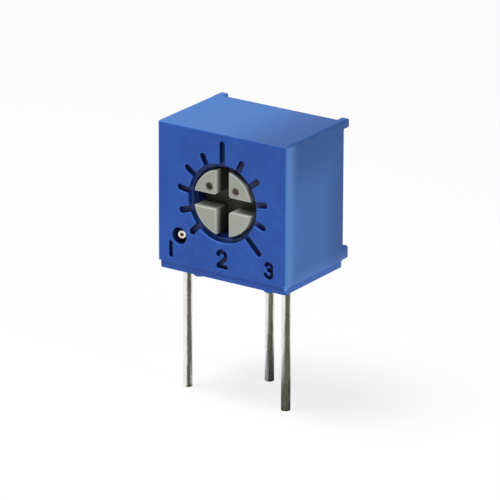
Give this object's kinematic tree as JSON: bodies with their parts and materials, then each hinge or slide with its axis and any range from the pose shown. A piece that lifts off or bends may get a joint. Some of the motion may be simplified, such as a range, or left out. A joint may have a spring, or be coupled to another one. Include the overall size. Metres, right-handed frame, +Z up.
{
  "type": "trimmer potentiometer",
  "caption": "Small cube-shaped single-turn trimmer potentiometer with a cross-slot rotor in a marked dial, standoff feet and wire terminals in a triangle.",
  "frame": {"origin": "on the axis of the wiper terminal, in the plane of the circuit board that the feet stand on", "axes": "+Z up, along the terminals towards the housing; +X towards terminal 3; -Y the way the dial faces"},
  "size_m": [0.0066, 0.0048, 0.0123],
  "materials": {
    "housing_plastic": "moulded blue plastic with a low sheen",
    "rotor_plastic": "warm light grey moulding, bright at its worn edges",
    "seal_rubber": "soft silicone rubber",
    "spring_metal": "thin rolled spring strip",
    "white_ceramic": "matte fired alumina",
    "resistive_film": "dark fired cermet film",
    "conductor_film": "fired silver film",
    "tinned_wire": "drawn copper wire dipped in tin",
    "solder": "smooth solder",
    "potting_resin": "poured resin, slightly glossy"
  },
  "bodies": {
    "fixed": {"housing": "housing_plastic", "o_ring": "seal_rubber", "substrate": "white_ceramic", "resistive_track": "resistive_film", "collector_ring": "conductor_film", "end_pad_1": "conductor_film", "end_pad_3": "conductor_film", "terminal_1": "tinned_wire", "terminal_2": "tinned_wire", "terminal_3": "tinned_wire", "solder_1": "solder", "solder_2": "solder", "solder_3": "solder", "resin_seal": "potting_resin"},
    "rotor": {"rotor": "rotor_plastic", "contact_spring": "spring_metal"}
  },
  "joints": [
    {"name": "rotor_turn", "type": "hinge", "parent": "fixed", "child": "rotor", "pos_m": [0, -0.00364, 0.00385], "axis": [0, 1, 0], "range_deg": [-135, 135]}
  ]
}
